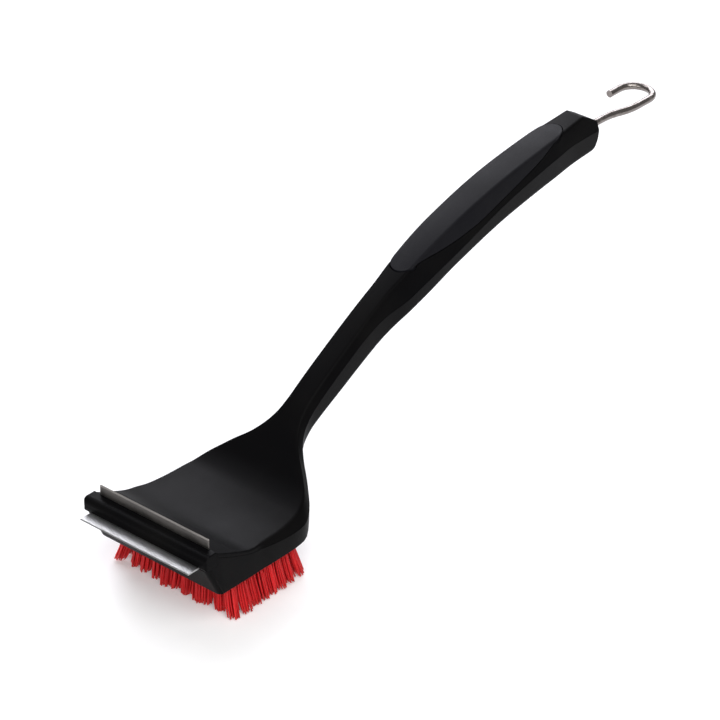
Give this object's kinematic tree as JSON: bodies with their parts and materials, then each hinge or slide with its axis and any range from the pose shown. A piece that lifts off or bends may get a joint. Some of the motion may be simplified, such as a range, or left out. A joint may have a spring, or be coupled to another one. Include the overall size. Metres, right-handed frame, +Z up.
{
  "type": "grill cleaning brush",
  "caption": "Long-handled grill cleaning brush with a hooded head, a nylon bristle cartridge, a two-edged steel scraper and a wire hanging hook.",
  "frame": {"origin": "tip of the middle tuft of the third row, on the plane that the bristle tips rest on", "axes": "+X from the head to the hook, +Y across the head, +Z up from the bristle tips to the handle"},
  "size_m": [0.5317, 0.108, 0.1889],
  "materials": {
    "shell_plastic": "satin moulded",
    "grip_rubber": "soft matte",
    "hook_steel": "polished wire",
    "blade_steel": "brushed sheet",
    "screw_steel": "zinc plated",
    "block_plastic": "satin moulded",
    "staple_wire": "bright wire",
    "bristle_nylon": "thick nylon filament"
  },
  "bodies": {
    "brush_body": {"upper_shell": "shell_plastic", "lower_shell": "shell_plastic", "grip_inlay": "grip_rubber", "hanging_hook": "hook_steel", "scraper_blade": "blade_steel", "nose_strip": "shell_plastic", "scraper_screws": "screw_steel", "head_screws": "screw_steel", "handle_screws": "screw_steel", "hook_screw": "screw_steel"},
    "bristle_cartridge": {"brush_block": "block_plastic", "tuft_staples": "staple_wire", "tuft_row_1": "bristle_nylon", "tuft_row_2": "bristle_nylon", "tuft_row_3": "bristle_nylon", "tuft_row_4": "bristle_nylon", "tuft_row_5": "bristle_nylon", "tuft_row_6": "bristle_nylon", "tuft_row_7": "bristle_nylon", "tuft_row_8": "bristle_nylon"}
  },
  "joints": [
    {"name": "cartridge_slide", "type": "slide", "parent": "brush_body", "child": "bristle_cartridge", "axis": [0, 0, -1], "range_m": [0, 0.045]}
  ]
}
